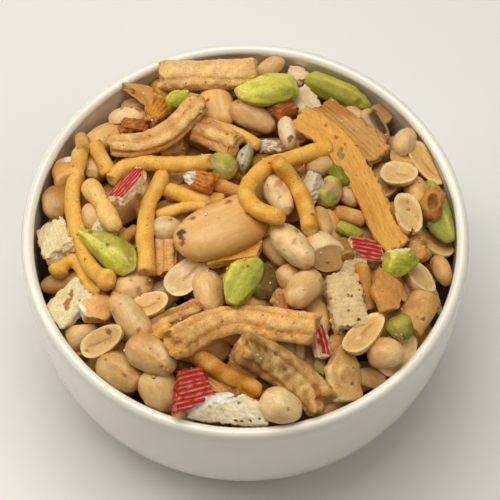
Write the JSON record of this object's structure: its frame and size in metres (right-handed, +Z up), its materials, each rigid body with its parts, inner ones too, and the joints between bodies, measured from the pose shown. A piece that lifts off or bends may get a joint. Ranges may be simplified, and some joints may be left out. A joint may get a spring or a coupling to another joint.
{
  "type": "bowl of bar mix",
  "caption": "Deep round white bowl heaped with bar mix: fried noodles, ridged corn sticks, peanuts, broad beans, green seeds and striped rice crackers.",
  "frame": {"origin": "middle of the bowl's foot, on the table", "axes": "+Z up through the bowl's mouth; the shown side faces -Y, +X to the right of it"},
  "size_m": [0.1208, 0.1208, 0.075],
  "materials": {
    "porcelain": "smooth glossy warm white glaze",
    "toasted_mix": "dry fried and roasted, with a thin film of oil"
  },
  "bodies": {
    "root": {"bowl": "porcelain", "bar_mix": "toasted_mix"}
  },
  "joints": []
}
